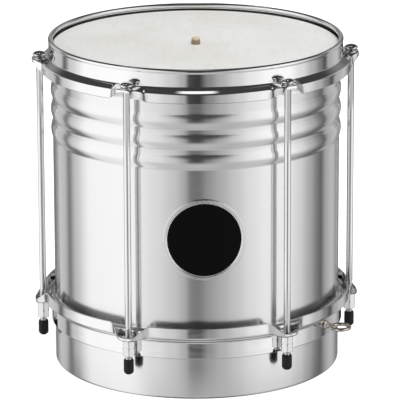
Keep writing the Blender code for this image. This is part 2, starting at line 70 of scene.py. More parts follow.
# Sizes of the solids that the pieces stand for
SEAT_GAP = 0.0003
SHELL_RADIUS = 0.127
SHELL_HEIGHT = 0.2885
SHELL_WALL = 0.0015
EDGE_ROLL = 0.003
EDGE_FLANGE = 0.004
RIB_COUNT = 3
RIB_DEPTH = 0.0015
RIB_PITCH = 0.0178
RIB_DROP = 0.0392
STOP_BEAD = 0.004
STOP_BEAD_LEVEL = 0.05798
SKIN = 0.0007
HEAD_TOP = SHELL_HEIGHT + SEAT_GAP + SKIN
SKIN_REACH = 0.020
DISH_DEPTH = 0.0017
DISH_RADIUS = 0.060
DISH_FLOOR = HEAD_TOP - DISH_DEPTH
COLLAR_RADIUS = SHELL_RADIUS + SEAT_GAP + SKIN
TUCK_INNER = 0.1283
TUCK_OUTER = 0.1343
TUCK_TOP = 0.27547
TUCK_BOTTOM = 0.26847
HOOP_TOP = HEAD_TOP + 0.0062
HOOP_SHEET = 0.0015
BEAD_RADIUS = 0.0022
BEAD_OVERHANG = 0.0003
BAND_RADIUS = 0.130
SKIRT_RADIUS = 0.137
UPPER_BAND = 0.0154
LOWER_BAND = 0.0155
SHOULDER_DROP = 0.0044
UPPER_SKIRT = 0.0085
LOWER_SKIRT = 0.0103
FOOT_HEIGHT = 0.0376
EAR_RADIUS = 0.145
EAR_LIP = 0.0032
EAR_SINK = 0.001
EAR_FLAT = 0.006
EAR_SHOULDER_END = 0.0145
EAR_SKIRT_END = 0.017
ROD_COUNT = 6
ROD_CIRCLE = 0.138
ROD_RADIUS = 0.003
ROD_BORE = 0.0034
ROD_SEAT = HOOP_TOP - UPPER_BAND - EAR_SINK + SEAT_GAP
ROD_HEAD_SEAT = 0.005
ROD_HEAD_RADIUS = 0.0063
ROD_HEAD_RIM = 0.002
ROD_HEAD_DOME = 0.003
NUT_ACROSS_FLATS = 0.010
NUT_TOP = FOOT_HEIGHT + LOWER_BAND + EAR_SINK - SEAT_GAP
NUT_BOTTOM = NUT_TOP - 0.0139
ROD_END = NUT_BOTTOM - 0.0146
CAP_RADIUS = 0.0044
CAP_FLOOR = 0.0022
CAP_BOTTOM = ROD_END - SEAT_GAP - CAP_FLOOR
CAP_TOP = CAP_BOTTOM + 0.0142
BADGE_HEIGHT = 0.1448
BADGE_TURN = math.radians(-1.5)
BADGE_RADIUS = 0.0362
BADGE_RIM = 0.0034
BADGE_PLATE = 0.0007
BADGE_RIM_RISE = 0.0005
EYE_ANGLE = math.radians(-34.0)
EYE_HEIGHT = FOOT_HEIGHT + 0.0103
EYE_REACH = BAND_RADIUS + 0.015
EYE_RING_RADIUS = 0.0083
EYE_WIRE_RADIUS = 0.0017
EYE_SHANK_RADIUS = 0.0022
EYE_COLLAR_RADIUS = 0.0042
EYE_COLLAR_LENGTH = 0.0042
EYE_SHANK_INNER_END = 0.1173
EYE_BORE = EYE_SHANK_RADIUS + SEAT_GAP
STICK_RADIUS = 0.0021
STICK_TOP = DISH_FLOOR + 0.0055
STICK_LENGTH = 0.220
STICK_KNOT_RISE = 0.0004
STICK_KNOTS = (0.070, 0.150)
TIE_CROWN = DISH_FLOOR + 0.0065
TIE_HEM = DISH_FLOOR - 0.003
TIE_RADIUS = 0.0031
BINDING_INNER = 0.0034
BINDING_TOP = DISH_FLOOR + 0.0038
BINDING_BOTTOM = DISH_FLOOR - 0.0025
SKIN_HOLE = 0.0043

# Shapes that only the dressed model has
RIB_SPREAD = 0.0129
RIB_EASE = 0.0006
STEP_FILLET = 0.0012
SHOULDER_FILLET = 0.002
EAR_EASE = 0.3
EDGE_STEPS = 6
FILLET_STEPS = 5
STRAIGHT_ENDS = (0.06, 0.94)
CAP_END = 0.0036
BEAD_STEPS = 22
# Depth under the hoop's top where the inner wall's painted crevice shade begins
HOOP_SHADE_DEPTH = 0.0051
NUT_CHAMFER = 0.0012
NUT_CHAMFER_SLOPE = 1.3
NUT_CORNER_CUT = 0.00018
NUT_GROOVE_DEPTH = 0.00055
NUT_GROOVE_SPREAD = 0.0006
ROUND = 192
ROD_SHANK_LEVELS = (0.22, 0.16, 0.10)
THREAD_PITCH = 0.001
THREAD_DEPTH = 0.00045
THREAD_TOP = 0.066
WRAP_PITCH = 0.00105
WRAP_RISE = 0.0006
PLEAT_COUNT = 11
PLEAT_RISE = 0.00022
PLEAT_REACH = 0.006
TIE_LIP = 0.0006
TIE_CREASES = 9
TIE_CREASE_DEPTH = 0.0007
STICK_KNOT_SHAPE = (
    (0.004, 0.0),
    (0.0012, 0.25),
    (0.0005, 1.0),
    (0.0, 0.3),
    (-0.0004, 0.8),
    (-0.003, 0.0),
)

# Camera and studio, azimuths in degrees to the right of the camera's side of the drum
CAMERA_AZIMUTH = 4.6
CAMERA_DISTANCE = 3.1356
CAMERA_HEIGHT = 1.0339
CAMERA_TURN = 0.0597
CAMERA_PITCH = 15.835
CAMERA_ROLL = -0.2
CAMERA_LENS = 328.67
STUDIO_STRENGTH = 1.25
STUDIO_PANELS = (
    (-180, 0.30),
    (-160, 0.14),
    (-146, 0.54),
    (-131, 0.50),
    (-124, 0.13),
    (-114, 0.60),
    (-94, 0.96),
    (-60, 0.98),
    (-32, 0.77),
    (-19, 0.60),
    (-9, 0.40),
    (-5, 0.06),
    (2, 0.04),
    (10, 0.24),
    (20, 0.42),
    (32, 0.62),
    (43, 0.80),
    (58, 0.94),
    (76, 0.95),
    (90, 0.72),
    (103, 0.43),
    (114, 0.20),
    (120, 0.08),
    (127, 0.38),
    (142, 0.48),
    (160, 0.12),
    (180, 0.30),
)
FLOOR_GLOW = (
    (-180, 0.30),
    (-140, 0.42),
    (-128, 0.12),
    (-115, 0.12),
    (-106, 0.52),
    (-97, 0.78),
    (-60, 0.84),
    (-29, 0.52),
    (-8, 0.46),
    (4, 0.48),
    (30, 0.43),
    (52, 0.53),
    (78, 0.50),
    (92, 0.42),
    (104, 0.29),
    (115, 0.11),
    (126, 0.10),
    (138, 0.40),
    (160, 0.34),
    (180, 0.30),
)
CEILING_GLOW = 0.045
CEILING_LIGHTS = (
    (Vector((0.02, 0.17, 0.985)), 0.10),
    (Vector((-0.33, 0.30, 0.90)), 0.08),
)


def polar(radius, angle, z=0.0):
    return Vector((radius * math.cos(angle), radius * math.sin(angle), z))


def arc(centre, radius, start, end, steps):
    """Points of an arc in a profile, with its angles in degrees from +X."""
    points = []
    for step in range(steps + 1):
        angle = math.radians(start + (end - start) * step / steps)
        points.append(Vector(centre) + radius * Vector((math.cos(angle), math.sin(angle))))
    return points


def left_of(direction):
    return Vector((-direction.y, direction.x))


def rounded(corners, steps=FILLET_STEPS):
    """A path through corners (x, z, fillet radius), with points near both ends of each straight."""
    path = []
    for index, (x, z, radius) in enumerate(corners):
        here = Vector((x, z))
        bend = [here]
        if radius > 0.0:
            before = Vector(corners[index - 1][:2])
            after = Vector(corners[(index + 1) % len(corners)][:2])
            into = (here - before).normalized()
            out = (after - here).normalized()
            turn = math.atan2(into.x * out.y - into.y * out.x, into.dot(out))
            start = here - into * radius * math.tan(abs(turn) / 2)
            centre = start + left_of(into) * math.copysign(radius, turn)
            spins = [Matrix.Rotation(turn * step / steps, 2) for step in range(steps + 1)]
            bend = [centre + spin @ (start - centre) for spin in spins]
        if path:
            last = path[-1]
            path += [last.lerp(bend[0], share) for share in STRAIGHT_ENDS]
        path += bend
    return path


def offset(path, distance):
    """The path moved to its left by distance, with mitred corners."""
    moved = []
    last = len(path) - 1
    for index, point in enumerate(path):
        into = path[max(index, 1)] - path[max(index, 1) - 1]
        out = path[min(index, last - 1) + 1] - path[min(index, last - 1)]
        before = left_of(into.normalized())
        after = left_of(out.normalized())
        moved.append(point + (before + after) * distance / (1.0 + before.dot(after)))
    return moved


def round_end(outer, inner, along):
    """Points of a sheet's rounded edge, from its outer face over to its inner one."""
    half = (outer - inner) / 2
    middle = (outer + inner) / 2 - along * half.length
    points = []
    for step in range(EDGE_STEPS + 1):
        angle = math.pi * step / EDGE_STEPS
        points.append(middle + half * math.cos(angle) + along * half.length * math.sin(angle))
    return points


def sheet_section(path, thickness):
    """The closed section of a sheet with rounded edges, whose outer face follows the path."""
    inner = offset(path, -thickness)
    end = round_end(path[-1], inner[-1], (path[-1] - path[-2]).normalized())
    start = round_end(inner[0], path[0], (path[0] - path[1]).normalized())
    return path[1:-1] + end + inner[-2:0:-1] + start


def woven(name, rows, finish, loop_rows=True, loop_points=True, sharp=40.0):
    """A mesh through like-numbered rows of points, smooth between its sharp edges."""
    count = len(rows[0])
    faces = []
    for index in range(len(rows) if loop_rows else len(rows) - 1):
        first = index * count
        second = (index + 1) % len(rows) * count
        for place in range(count if loop_points else count - 1):
            after = (place + 1) % count
            faces.append((first + place, first + after, second + after, second + place))
    mesh = bpy.data.meshes.new(name)
    mesh.from_pydata([point for row in rows for point in row], [], faces)
    shape = bmesh.new()
    shape.from_mesh(mesh)
    bmesh.ops.remove_doubles(shape, verts=shape.verts, dist=0.000001)
    bmesh.ops.recalc_face_normals(shape, faces=shape.faces)
    shape.to_mesh(mesh)
    shape.free()
    return piece_of(name, mesh, finish, sharp)


def piece_of(name, mesh, finish, sharp=40.0):
    mesh.shade_smooth()
    mesh.set_sharp_from_angle(angle=math.radians(sharp))
    mesh.materials.append(finish)
    piece = bpy.data.objects.new(name, mesh)
    bpy.context.scene.collection.objects.link(piece)
    return piece


def turned(name, profile, finish, segments=ROUND, closed=True, sharp=40.0):
    """A profile turned round Z. A closed one is a ring, an open one starts and ends on the axis."""
    rows = []
    for index in range(segments):
        angle = 2 * math.pi * index / segments
        rows.append([polar(x, angle, z) for x, z in profile])
    return woven(name, rows, finish, loop_points=closed, sharp=sharp)


def settle(piece, sharp=40.0):
    """Applies the piece's modifiers."""
    bpy.context.view_layer.update()
    graph = bpy.context.evaluated_depsgraph_get()
    mesh = bpy.data.meshes.new_from_object(piece.evaluated_get(graph))
    piece.modifiers.clear()
    piece.data = mesh
    mesh.shade_smooth()
    mesh.set_sharp_from_angle(angle=math.radians(sharp))
    return piece


def cut_by(piece, places, radius, length):
    """Round holes through the piece, each along its place's own Z."""
    mesh = bpy.data.meshes.new("drill")
    shape = bmesh.new()
    for place in places:
        bmesh.ops.create_cone(
            shape,
            cap_ends=True,
            segments=32,
            radius1=radius,
            radius2=radius,
            depth=length,
            matrix=place,
        )
    shape.to_mesh(mesh)
    shape.free()
    drill = bpy.data.objects.new("drill", mesh)
    bpy.context.scene.collection.objects.link(drill)
    change = piece.modifiers.new("Holes", "BOOLEAN")
    change.operation = "DIFFERENCE"
    change.object = drill
    change.solver = "EXACT"
    settle(piece)
    bpy.data.objects.remove(drill, do_unlink=True)
    return piece


def stand_for(piece, node):
    """The piece rides where its node does, and is shown in its place."""
    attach(piece, frame["nodes"][node]["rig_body"])
    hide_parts(node)
    return piece


def rod_angles():
    return [2 * math.pi * index / ROD_COUNT for index in range(ROD_COUNT)]


def stand_on_rod_circle(pattern, node):
    """One copy of the pattern for each of the six nodes, on the rods' axes."""
    for number, angle in enumerate(rod_angles(), start=1):
        copy = bpy.data.objects.new(f"dressed_{node}_{number}", pattern.data)
        bpy.context.scene.collection.objects.link(copy)
        copy.location = polar(ROD_CIRCLE, angle)
        copy.rotation_euler = (0.0, 0.0, angle)
        stand_for(copy, f"{node}_{number}")
    bpy.data.objects.remove(pattern, do_unlink=True)


# Materials


class Nodes:
    """A node tree, with short calls for its nodes."""

    def __init__(self, tree):
        self.tree = tree

    def node(self, kind, **values):
        made = self.tree.nodes.new(kind)
        for key, value in values.items():
            setattr(made, key, value)
        return made

    def link(self, output, target):
        self.tree.links.new(output, target)

    def feed(self, value, socket):
        """Gives a socket another node's output, a number or a colour."""
        if isinstance(value, bpy.types.NodeSocket):
            self.link(value, socket)
        elif isinstance(value, tuple):
            socket.default_value = (*value, 1.0)
        else:
            socket.default_value = value

    def math(self, operation, first, second=0.0):
        made = self.node("ShaderNodeMath", operation=operation)
        self.feed(first, made.inputs[0])
        self.feed(second, made.inputs[1])
        return made.outputs["Value"]

    def ranged(self, value, low, high, to_low=0.0, to_high=1.0, smooth=False):
        made = self.node("ShaderNodeMapRange")
        made.interpolation_type = "SMOOTHSTEP" if smooth else "LINEAR"
        numbers = (("From Min", low), ("From Max", high), ("To Min", to_low), ("To Max", to_high))
        for socket, number in numbers:
            made.inputs[socket].default_value = number
        self.link(value, made.inputs["Value"])
        return made.outputs["Result"]

    def mixed(self, share, first, second, way="MIX"):
        """A colour between two, each a colour or another node's output."""
        made = self.node("ShaderNodeMix", data_type="RGBA", blend_type=way)
        self.feed(share, made.inputs["Factor"])
        self.feed(first, made.inputs[6])
        self.feed(second, made.inputs[7])
        return made.outputs[2]


class Finish(Nodes):
    """A material with its Principled shader."""

    def __init__(self, name, colour, roughness, metallic=0.0):
        self.material = bpy.data.materials.new(name)
        self.material.use_nodes = True
        super().__init__(self.material.node_tree)
        self.shader = self.tree.nodes["Principled BSDF"]
        self.shader.inputs["Base Color"].default_value = (*colour, 1.0)
        self.shader.inputs["Roughness"].default_value = roughness
        self.shader.inputs["Metallic"].default_value = metallic
        self.place = self.node("ShaderNodeTexCoord").outputs["Object"]

    def stretched(self, x, y, z):
        """Object coordinates scaled on each axis."""
        mapping = self.node("ShaderNodeMapping")
        mapping.inputs["Scale"].default_value = (x, y, z)
        self.link(self.place, mapping.inputs["Vector"])
        return mapping.outputs["Vector"]

    def noise(self, where, scale=1.0, detail=4.0, roughness=0.5):
        made = self.node("ShaderNodeTexNoise")
        made.inputs["Scale"].default_value = scale
        made.inputs["Detail"].default_value = detail
        made.inputs["Roughness"].default_value = roughness
        self.link(where, made.inputs["Vector"])
        return made.outputs["Fac"]

    def colour(self, output):
        self.link(output, self.shader.inputs["Base Color"])

    def rough(self, output):
        self.link(output, self.shader.inputs["Roughness"])

    def bump(self, height, strength, distance):
        made = self.node("ShaderNodeBump")
        made.inputs["Strength"].default_value = strength
        made.inputs["Distance"].default_value = distance
        self.link(height, made.inputs["Height"])
        self.link(made.outputs["Normal"], self.shader.inputs["Normal"])


def brushed_aluminium():
    """Sheet brushed round the drum, so its gloss spreads up and down."""
    made = Finish("brushed aluminium", (0.80, 0.80, 0.80), 0.19, 1.0)
    hairlines = made.noise(made.stretched(4.0, 4.0, 3200.0), detail=3.0)
    clouds = made.noise(made.stretched(9.0, 9.0, 14.0), detail=3.0)
    both = made.math("ADD", made.math("MULTIPLY", hairlines, 0.7), made.math("MULTIPLY", clouds, 0.3))
    made.colour(made.mixed(both, (0.775, 0.77, 0.775), (0.825, 0.82, 0.82)))
    made.rough(made.ranged(both, 0.35, 0.65, 0.17, 0.215))
    made.bump(hairlines, 0.03, 0.0001)
    made.shader.inputs["Anisotropic"].default_value = 0.8
    made.shader.inputs["Anisotropic Rotation"].default_value = 0.25
    tangent = made.node("ShaderNodeTangent", direction_type="RADIAL", axis="Z")
    made.link(tangent.outputs["Tangent"], made.shader.inputs["Tangent"])
    return made.material


def chrome():
    """Polished plating over pressed steel, with the pressing's faint waves under it."""
    made = Finish("chrome", (0.80, 0.80, 0.81), 0.04, 1.0)
    waves = made.noise(made.stretched(50.0, 50.0, 110.0), detail=1.0)
    haze = made.noise(made.stretched(300.0, 300.0, 300.0), detail=3.0)
    made.colour(made.mixed(haze, (0.785, 0.78, 0.79), (0.82, 0.82, 0.825)))
    made.rough(made.ranged(haze, 0.3, 0.7, 0.03, 0.055))
    made.bump(waves, 0.03, 0.002)
    return made.material


def crevice_shade_steel():
    """Dark, faintly spotted steel, a painted shade that stands in for the shadow in the crevice
    between the hoop's inner wall and the skin.
    """
    made = Finish("painted crevice shade", (0.05, 0.048, 0.046), 0.45, 1.0)
    spots = made.noise(made.stretched(320.0, 320.0, 320.0), detail=4.0)
    made.colour(made.mixed(spots, (0.035, 0.033, 0.032), (0.065, 0.062, 0.060)))
    made.rough(made.ranged(spots, 0.3, 0.7, 0.38, 0.52))
    made.bump(spots, 0.1, 0.0002)
    return made.material


def rod_plate():
    """Bright zinc on drawn rods."""
    made = Finish("rod plate", (0.80, 0.80, 0.80), 0.10, 1.0)
    spots = made.noise(made.stretched(400.0, 400.0, 120.0), detail=3.0)
    made.colour(made.mixed(spots, (0.74, 0.74, 0.74), (0.84, 0.84, 0.84)))
    made.rough(made.ranged(spots, 0.3, 0.7, 0.08, 0.13))
    return made.material


def nut_plate():
    """Duller zinc on the nuts, with the marks of the bar they were cut from."""
    made = Finish("nut plate", (0.78, 0.78, 0.78), 0.24, 1.0)
    marks = made.noise(made.stretched(2200.0, 2200.0, 400.0), detail=3.0)
    spots = made.noise(made.stretched(500.0, 500.0, 500.0), detail=4.0)
    made.colour(made.mixed(spots, (0.68, 0.68, 0.68), (0.84, 0.84, 0.84)))
    made.rough(made.ranged(spots, 0.3, 0.7, 0.18, 0.30))
    made.bump(marks, 0.10, 0.0001)
    return made.material


def nickel_plate():
    made = Finish("nickel plate", (0.62, 0.56, 0.50), 0.16, 1.0)
    spots = made.noise(made.stretched(420.0, 420.0, 420.0), detail=4.0)
    made.colour(made.mixed(spots, (0.52, 0.46, 0.40), (0.70, 0.64, 0.58)))
    made.rough(made.ranged(spots, 0.3, 0.7, 0.10, 0.24))
    made.bump(spots, 0.08, 0.0002)
    return made.material


def bare_steel():
    made = Finish("bare steel", (0.45, 0.45, 0.46), 0.4, 1.0)
    spots = made.noise(made.stretched(260.0, 260.0, 260.0), detail=5.0)
    made.colour(made.mixed(spots, (0.36, 0.35, 0.34), (0.52, 0.52, 0.53)))
    made.rough(made.ranged(spots, 0.3, 0.7, 0.3, 0.5))
    made.bump(spots, 0.1, 0.0002)
    return made.material


def black_rubber():
    made = Finish("black rubber", (0.006, 0.006, 0.006), 0.45)
    grain = made.noise(made.stretched(900.0, 900.0, 900.0), detail=4.0)
    made.colour(made.mixed(grain, (0.004, 0.004, 0.004), (0.010, 0.009, 0.010)))
    made.rough(made.ranged(grain, 0.3, 0.7, 0.42, 0.58))
    made.bump(grain, 0.15, 0.0002)
    made.shader.inputs["Specular IOR Level"].default_value = 0.25
    return made.material


def badge_field():
    """Matt black print on a brushed plate."""
    made = Finish("badge field", (0.003, 0.002, 0.003), 0.42)
    grain = made.noise(made.stretched(500.0, 500.0, 3000.0), detail=3.0)
    made.colour(made.mixed(grain, (0.002, 0.002, 0.002), (0.004, 0.003, 0.004)))
    made.rough(made.ranged(grain, 0.3, 0.7, 0.38, 0.48))
    made.bump(grain, 0.06, 0.0001)
    made.shader.inputs["Specular IOR Level"].default_value = 0.04
    return made.material


def badge_rim():
    made = Finish("badge rim", (0.82, 0.82, 0.82), 0.28, 1.0)
    grain = made.noise(made.stretched(400.0, 400.0, 400.0), detail=4.0)
    made.colour(made.mixed(grain, (0.74, 0.74, 0.74), (0.86, 0.86, 0.86)))
    made.rough(made.ranged(grain, 0.3, 0.7, 0.22, 0.34))
    made.bump(grain, 0.05, 0.0001)
    return made.material


def goat_skin():
    """Scraped skin: off white, faintly clouded, with fine fibres and pores."""
    made = Finish("goat skin", (0.85, 0.85, 0.83), 0.5)
    clouds = made.noise(made.stretched(16.0, 11.0, 16.0), detail=4.0)
    fibres = made.noise(made.stretched(240.0, 60.0, 240.0), detail=4.0, roughness=0.65)
    pores = made.noise(made.stretched(1300.0, 1300.0, 1300.0), detail=2.0)
    cloudy = made.ranged(clouds, 0.35, 0.7, smooth=True)
    base = made.mixed(cloudy, (0.87, 0.87, 0.855), (0.80, 0.79, 0.75))
    made.colour(made.mixed(made.ranged(fibres, 0.5, 0.8, 0.0, 0.5), base, (0.70, 0.67, 0.60)))
    made.rough(made.ranged(fibres, 0.3, 0.7, 0.42, 0.6))
    made.bump(made.math("ADD", fibres, made.math("MULTIPLY", pores, 0.5)), 0.12, 0.0003)
    return made.material


def tied_skin():
    made = Finish("tied skin", (0.72, 0.62, 0.48), 0.6)
    blotches = made.noise(made.stretched(420.0, 420.0, 300.0), detail=4.0)
    fibres = made.noise(made.stretched(2200.0, 2200.0, 300.0), detail=3.0)
    browned = made.ranged(blotches, 0.3, 0.7)
    made.colour(made.mixed(browned, (0.80, 0.72, 0.58), (0.55, 0.43, 0.29)))
    made.rough(made.ranged(fibres, 0.3, 0.7, 0.5, 0.7))
    made.bump(fibres, 0.3, 0.0002)
    return made.material


def waxed_thread():
    made = Finish("waxed thread", (0.33, 0.25, 0.17), 0.7)
    strands = made.node("ShaderNodeTexWave", wave_type="BANDS", bands_direction="DIAGONAL")
    strands.inputs["Scale"].default_value = 1500.0
    strands.inputs["Distortion"].default_value = 2.0
    made.link(made.place, strands.inputs["Vector"])
    made.colour(made.mixed(strands.outputs["Fac"], (0.22, 0.155, 0.10), (0.45, 0.35, 0.25)))
    made.rough(made.ranged(strands.outputs["Fac"], 0.0, 1.0, 0.6, 0.8))
    made.bump(strands.outputs["Fac"], 0.4, 0.0002)
    return made.material


def bamboo():
    made = Finish("bamboo", (0.70, 0.55, 0.33), 0.45)
    grain = made.noise(made.stretched(1500.0, 1500.0, 25.0), detail=4.0)
    blush = made.noise(made.stretched(90.0, 90.0, 22.0), detail=3.0)
    base = made.mixed(blush, (0.74, 0.60, 0.36), (0.60, 0.42, 0.22))
    made.colour(made.mixed(made.ranged(grain, 0.45, 0.75, 0.0, 0.6), base, (0.40, 0.27, 0.13)))
    made.rough(made.ranged(grain, 0.3, 0.7, 0.35, 0.55))
    made.bump(grain, 0.2, 0.0002)
    return made.material


# Pieces


def rib_rise(z):
    """How far the pressed ribs, round on top and eased into the wall, stand out at a height."""
    rise = 0.0
    half = RIB_SPREAD / 2
    curve = RIB_DEPTH / half**2
    inner = half - RIB_EASE
    outer = half + RIB_EASE * half / inner
    for rib in range(RIB_COUNT):
        away = abs(z - (SHELL_HEIGHT - RIB_DROP - rib * RIB_PITCH))
        if away < inner:
            rise += RIB_DEPTH - curve * away**2
        elif away < outer:
            rise += curve * inner * (outer - away) ** 2 / (outer - inner)
    return rise


def make_shell(finish):
    """The ribbed sheet with rolled ends, and the bead under which the lower ring catches."""
    inward = SHELL_RADIUS - EDGE_ROLL
    flange = (inward - EDGE_FLANGE, inward - EDGE_FLANGE / 2)
    path = [Vector((radius, SHELL_HEIGHT)) for radius in flange]
    path += arc((inward, SHELL_HEIGHT - EDGE_ROLL), EDGE_ROLL, 90, 0, 8)
    path.append(Vector((SHELL_RADIUS, SHELL_HEIGHT - EDGE_ROLL - 0.001)))
    top = SHELL_HEIGHT - RIB_DROP + RIB_SPREAD / 2 + 2 * RIB_EASE
    lowest_rib = SHELL_HEIGHT - RIB_DROP - (RIB_COUNT - 1) * RIB_PITCH
    bottom = lowest_rib - RIB_SPREAD / 2 - 2 * RIB_EASE
    steps = 84
    for step in range(steps + 1):
        z = top + (bottom - top) * step / steps
        path.append(Vector((SHELL_RADIUS + rib_rise(z), z)))
    path += rounded(
        [
            (SHELL_RADIUS, STOP_BEAD_LEVEL + 0.03, 0.0),
            (SHELL_RADIUS, STOP_BEAD_LEVEL + STOP_BEAD + 0.0004, 0.0008),
            (SHELL_RADIUS + STOP_BEAD, STOP_BEAD_LEVEL + STOP_BEAD, STOP_BEAD * 0.9),
            (SHELL_RADIUS + STOP_BEAD, STOP_BEAD_LEVEL - STOP_BEAD, STOP_BEAD * 0.9),
            (SHELL_RADIUS, STOP_BEAD_LEVEL - STOP_BEAD - 0.0004, 0.0008),
            (SHELL_RADIUS, STOP_BEAD_LEVEL - 0.03, 0.0),
        ]
    )
    path += arc((inward, EDGE_ROLL), EDGE_ROLL, 0, -90, 8)
    path += [Vector((radius, 0.0)) for radius in reversed(flange)]
    shell = turned("brushed_shell", sheet_section(path, SHELL_WALL), finish)
    cut_by(shell, [eye_place(SHELL_RADIUS)], EYE_BORE, 0.012)
    return stand_for(shell, "shell")


def eased(share, ease):
    """A share held between 0 and 1, with its two corners rounded."""
    if share <= -ease:
        return 0.0
    if share < ease:
        return (share + ease) ** 2 / (4 * ease)
    if share <= 1.0 - ease:
        return share
    if share < 1.0 + ease:
        return 1.0 - (1.0 + ease - share) ** 2 / (4 * ease)
    return 1.0


def ear_share(place, end):
    """How far the ear stands out at a distance from its middle, from 0 to 1."""
    return eased((end - abs(place)) / (end - EAR_FLAT), EAR_EASE)


def hoop_stations():
    """(angle, place) of each section: a millimetre apart over an ear, even between the ears."""
    reach = EAR_SKIRT_END + 0.004
    over_ear = 42
    between = 32
    sector = 2 * math.pi / ROD_COUNT
    ear_half_angle = reach / SKIRT_RADIUS
    step = (sector - 2 * ear_half_angle) / between
    stations = []
    for middle in rod_angles():
        for count in range(over_ear + 1):
            place = -reach + 2 * reach * count / over_ear
            stations.append((middle + place / SKIRT_RADIUS, place))
        for count in range(1, between):
            stations.append((middle + ear_half_angle + count * step, reach))
    return stations


def hoop_face(place, band, skirt, start=0.0):
    """The outer face of a hoop's section, measured down from its top, from where its band starts."""
    shoulder = ear_share(place, EAR_SHOULDER_END)
    foot = ear_share(place, EAR_SKIRT_END)
    step = -band - EAR_SINK * shoulder
    edge = step - SHOULDER_DROP * (1 - shoulder)
    plain_bottom = -band - SHOULDER_DROP - skirt
    ear_bottom = -band - EAR_SINK - EAR_LIP
    bottom = plain_bottom + (ear_bottom - plain_bottom) * foot
    flat_half_angle = EAR_FLAT / SKIRT_RADIUS
    angle = min(abs(place) / SKIRT_RADIUS, flat_half_angle)
    ear_radius = EAR_RADIUS * math.cos(flat_half_angle) / math.cos(angle)
    shoulder_radius = SKIRT_RADIUS + (ear_radius - SKIRT_RADIUS) * shoulder
    foot_radius = SKIRT_RADIUS + (ear_radius - SKIRT_RADIUS) * foot
    return rounded(
        [
            (BAND_RADIUS, start, 0.0),
            (BAND_RADIUS, step, STEP_FILLET),
            (shoulder_radius, edge, SHOULDER_FILLET),
            (foot_radius, bottom, 0.0),
        ]
    )


def rolled_bead():
    """The bead along the counterhoop's top, from its inner side over to its outer side."""
    centre_radius = BAND_RADIUS + BEAD_OVERHANG - BEAD_RADIUS
    outer_end = -math.degrees(math.acos((BAND_RADIUS - centre_radius) / BEAD_RADIUS))
    inner_wall = BAND_RADIUS - HOOP_SHEET
    inner_end = 360 - math.degrees(math.acos((inner_wall - centre_radius) / BEAD_RADIUS))
    return arc((centre_radius, -BEAD_RADIUS), BEAD_RADIUS, inner_end, outer_end, BEAD_STEPS)


def rod_holes(level):
    return [Matrix.Translation(polar(ROD_CIRCLE, angle, level)) for angle in rod_angles()]


def make_counterhoop(finish, crevice_shade_finish):
    """The plated hoop, whose inner wall from just under the bead is painted dark as shade for the
    crevice against the skin.
    """
    bead = rolled_bead()
    wall_start = Vector((BAND_RADIUS - HOOP_SHEET, -HOOP_SHADE_DEPTH))
    rows = []
    for angle, place in hoop_stations():
        face = hoop_face(place, UPPER_BAND, UPPER_SKIRT, bead[-1].y)
        inner = offset(face, -HOOP_SHEET)
        edge = round_end(face[-1], inner[-1], (face[-1] - face[-2]).normalized())
        section = bead + face[1:-1] + edge + inner[-2:1:-1] + [wall_start]
        rows.append([polar(x, angle, HOOP_TOP + z) for x, z in section])
    hoop = woven("chromed_counterhoop", rows, finish)
    cut_by(hoop, rod_holes(ROD_SEAT), ROD_BORE, 4 * HOOP_SHEET)
    # The dark inner-wall faces are painted shade for the crevice between hoop and skin
    hoop.data.materials.append(crevice_shade_finish)
    wall = BAND_RADIUS - HOOP_SHEET / 2
    shade_level = HOOP_TOP - HOOP_SHADE_DEPTH
    for polygon in hoop.data.polygons:
        centre = polygon.center
        inside = math.hypot(centre.x, centre.y) < wall and centre.z < shade_level
        polygon.material_index = 1 if inside else 0
    return stand_for(hoop, "counterhoop")


def make_lower_ring(finish):
    """A pressing like the counterhoop, upside down, with a deeper skirt and without the bead."""
    rows = []
    for angle, place in hoop_stations():
        section = sheet_section(hoop_face(place, LOWER_BAND, LOWER_SKIRT), HOOP_SHEET)
        rows.append([polar(x, angle, FOOT_HEIGHT - z) for x, z in section])
    ring = woven("chromed_lower_ring", rows, finish)
    cut_by(ring, rod_holes(NUT_TOP), ROD_BORE, 4 * HOOP_SHEET)
    cut_by(ring, [eye_place(BAND_RADIUS)], EYE_BORE, 0.008)
    return stand_for(ring, "lower_ring")


def make_rods(finish):
    """A domed head, a plain shank, and a helical thread on its lower end."""
    rim = ROD_SEAT + ROD_HEAD_RIM
    segments = 24
    profile = [(0.0, rim + ROD_HEAD_DOME)]
    for step in range(1, 15):
        angle = math.radians(90 - 90 * step / 15)
        rise = ROD_HEAD_DOME * math.sin(angle) ** 1.25
        profile.append((ROD_HEAD_RADIUS * math.cos(angle), rim + rise))
    profile += [
        (ROD_HEAD_RADIUS, rim),
        (ROD_HEAD_RADIUS - 0.0001, rim - 0.0002),
        (ROD_HEAD_SEAT + 0.0001, ROD_SEAT + 0.0002),
        (ROD_HEAD_SEAT - 0.0001, ROD_SEAT),
        (ROD_RADIUS + 0.0003, ROD_SEAT),
        (ROD_RADIUS, ROD_SEAT - 0.0003),
    ]
    profile += [(ROD_RADIUS, z) for z in (*ROD_SHANK_LEVELS, THREAD_TOP)]
    per_turn = 6
    turns = round((THREAD_TOP - ROD_END) / THREAD_PITCH)
    rows = []
    for index in range(segments):
        angle = 2 * math.pi * index / segments
        row = [polar(x, angle, z) for x, z in profile]
        for step in range(1, turns * per_turn):
            z = THREAD_TOP - step * THREAD_PITCH / per_turn
            phase = (z / THREAD_PITCH + index / segments) % 1.0
            run_out = min(1.0, (THREAD_TOP - z) / 0.002, (z - ROD_END) / 0.001 + 0.2)
            dip = THREAD_DEPTH * (1 - abs(2 * phase - 1)) * run_out
            taper = max(0.0, 0.0008 - (z - ROD_END)) * 0.7
            row.append(polar(ROD_RADIUS - dip - taper, angle, z))
        row.append(polar(ROD_RADIUS * 0.75, angle, ROD_END))
        row.append(Vector((0.0, 0.0, ROD_END)))
        rows.append(row)
    rod = woven("rod", rows, finish, loop_points=False, sharp=50.0)
    stand_on_rod_circle(rod, "tension_rod")


